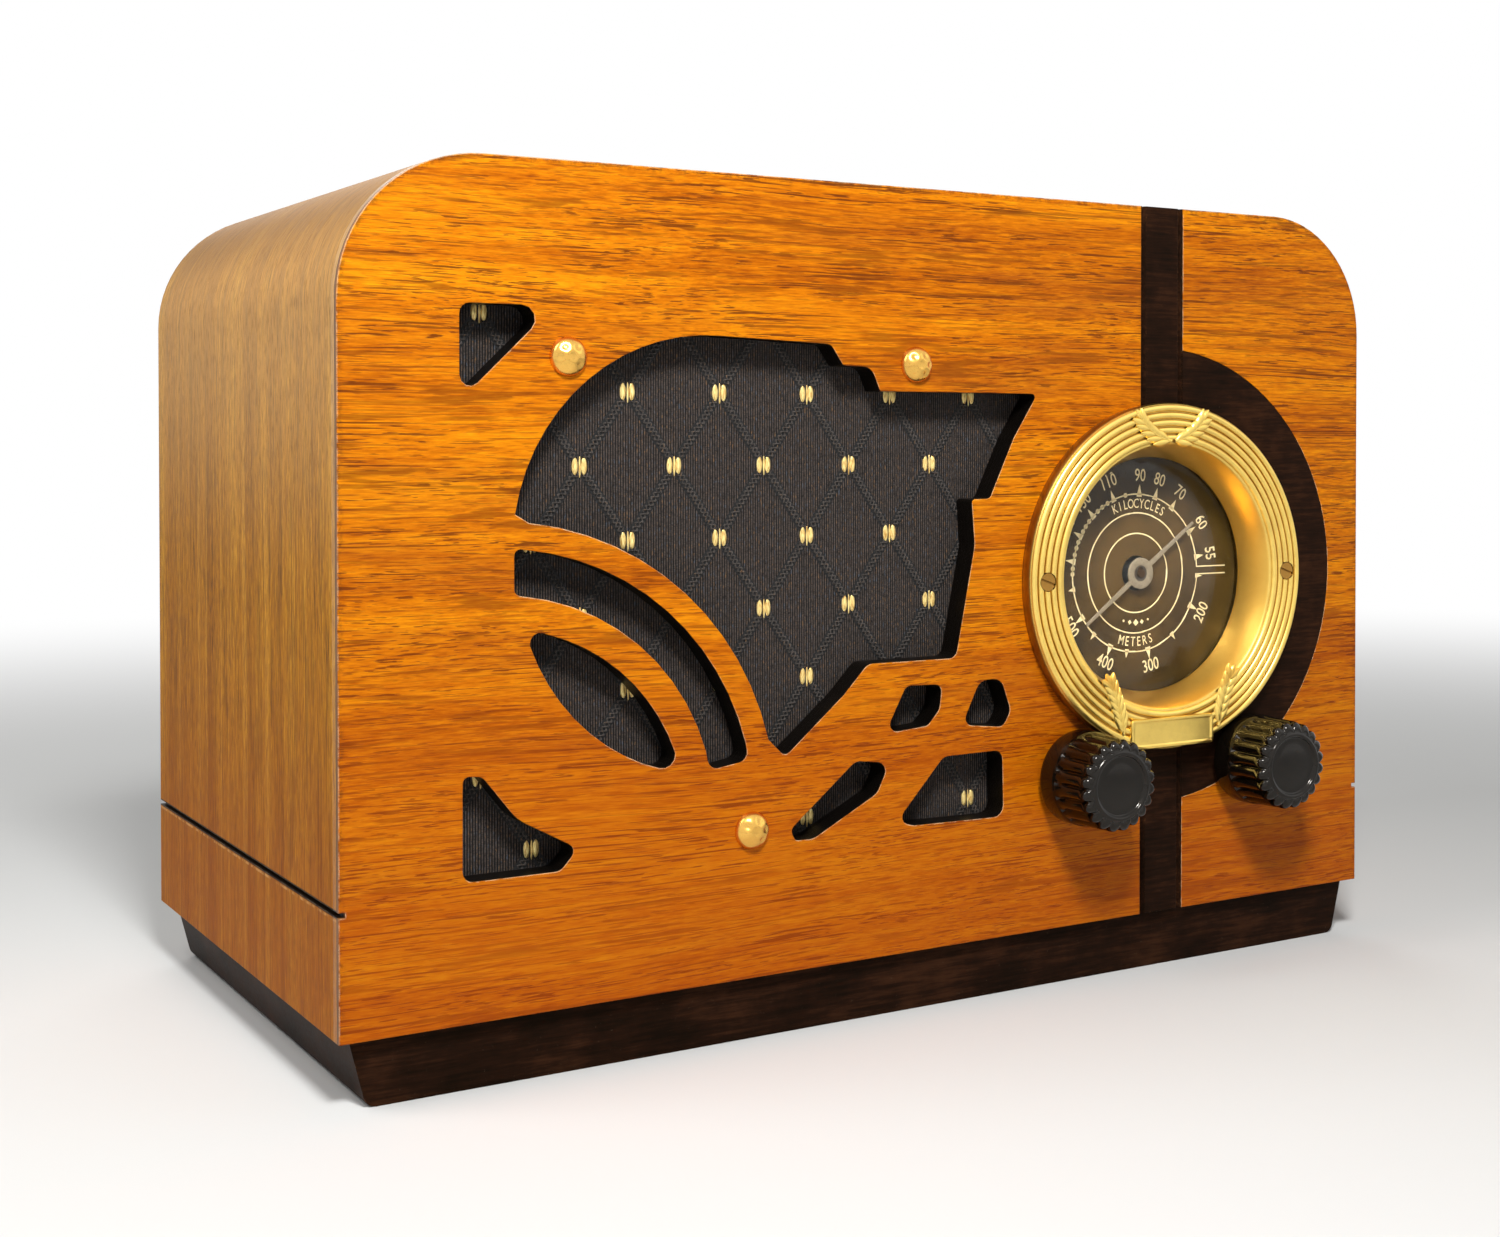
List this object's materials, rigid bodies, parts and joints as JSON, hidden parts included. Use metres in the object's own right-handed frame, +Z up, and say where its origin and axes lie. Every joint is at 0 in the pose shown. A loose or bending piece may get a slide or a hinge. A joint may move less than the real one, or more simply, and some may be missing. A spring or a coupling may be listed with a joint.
{
  "type": "tube radio",
  "caption": "Wooden table radio with a fretted cloth grille, a round glazed dial, tuning and volume knobs, and a tube chassis and speaker behind an open back.",
  "frame": {"origin": "middle of the underside of the base board, halfway between the knobs' faces and the back edge of the sides", "axes": "+X to the right of someone who faces the front, +Y to the back, +Z up; the front looks along -Y"},
  "size_m": [0.31, 0.193, 0.216],
  "materials": {
    "front_wood": "semi-gloss lacquered walnut veneer, grain across",
    "shell_wood": "satin lacquered walnut veneer, grain up the sides",
    "black_wood": "black painted wood, satin",
    "plain_wood": "bare plywood",
    "grille_cloth": "black ribbed cloth with woven diamonds and gold dots",
    "polished_brass": "polished",
    "satin_brass": "satin, lacquered",
    "plated_steel": "plated, dull",
    "chassis_steel": "plated sheet",
    "clear_glass": "clear",
    "tube_glass": "clear bulb",
    "lamp_glass": "clear bulb",
    "dial_print": "brown with cream print",
    "pointer_metal": "dull",
    "aluminium_plates": "plain sheet",
    "can_aluminium": "drawn can",
    "bakelite_black": "polished black",
    "bakelite_brown": "brown moulding",
    "black_rubber": "matte",
    "electrode_metal": "dark carbonised metal",
    "lead_cloth": "cloth covered wire",
    "former_card": "waxed card",
    "coil_paper": "varnished paper wrap",
    "cone_paper": "dark pressed paper",
    "core_iron": "laminated or plain iron",
    "black_enamel": "black enamel"
  },
  "bodies": {
    "cabinet": {"base_board": "black_wood", "floor_board": "plain_wood", "cabinet_shell": "shell_wood", "front_panel": "front_wood", "centre_stripe": "black_wood", "dial_crescent": "black_wood", "glue_blocks": "plain_wood", "speaker_board": "plain_wood", "grille_cloth": "grille_cloth", "panel_bolts": "polished_brass", "panel_nuts": "plated_steel", "dial_bezel": "satin_brass", "bezel_screws": "polished_brass", "dial_glass": "clear_glass", "dial_card": "dial_print", "dial_bracket": "plated_steel", "lamp_socket": "polished_brass", "pilot_lamp": "lamp_glass", "condenser_frame": "plated_steel", "condenser_stators": "aluminium_plates", "tuning_bush": "polished_brass", "volume_control": "plated_steel", "bush_nuts": "plated_steel", "chassis": "chassis_steel", "chassis_fasteners": "plated_steel", "converter_tube": "tube_glass", "amplifier_tube": "tube_glass", "detector_tube": "tube_glass", "output_tube": "tube_glass", "rectifier_tube": "tube_glass", "tube_bases": "bakelite_brown", "tube_electrodes": "electrode_metal", "tube_sockets": "bakelite_brown", "tube_shields": "can_aluminium", "grid_leads": "lead_cloth", "coil_cans": "can_aluminium", "coil_formers": "former_card", "filter_cans": "can_aluminium", "transformer_core": "core_iron", "transformer_coil": "coil_paper", "transformer_cover": "black_enamel", "speaker_frame": "black_enamel", "cone_surround": "cone_paper", "spider": "former_card", "field_coil": "coil_paper", "magnet_yoke": "core_iron", "output_transformer": "core_iron", "cord_grommet": "black_rubber", "aerial_terminals": "bakelite_brown", "small_components": "former_card"},
    "dial_rotor": {"condenser_rotor": "aluminium_plates", "drive_disc": "plated_steel", "pointer": "pointer_metal"},
    "tuning": {"tuning_knob": "bakelite_black", "tuning_shaft": "plated_steel", "friction_wheel": "black_rubber"},
    "volume": {"volume_knob": "bakelite_black", "volume_shaft": "plated_steel"},
    "cone": {"speaker_cone": "cone_paper", "voice_coil": "coil_paper"}
  },
  "joints": [
    {"name": "dial_turn", "type": "hinge", "parent": "cabinet", "child": "dial_rotor", "pos_m": [0.0788, 0, 0.1117], "axis": [0, 1, 0], "range_deg": [-144, 36]},
    {"name": "tuning_turn", "type": "hinge", "parent": "cabinet", "child": "tuning", "pos_m": [0.0478, -0.05, 0.0575], "axis": [0, 1, 0], "range_deg": [-150, 596]},
    {"name": "volume_turn", "type": "hinge", "parent": "cabinet", "child": "volume", "pos_m": [0.1098, -0.05, 0.0575], "axis": [0, 1, 0], "range_deg": [0, 300]},
    {"name": "cone_travel", "type": "slide", "parent": "cabinet", "child": "cone", "axis": [0, 1, 0], "range_m": [-0.001, 0.001], "stiffness_N_per_m": 1200}
  ],
  "couplings": [
    {"joint": "tuning_turn", "follows": "dial_turn", "ratio": -4.1189}
  ]
}
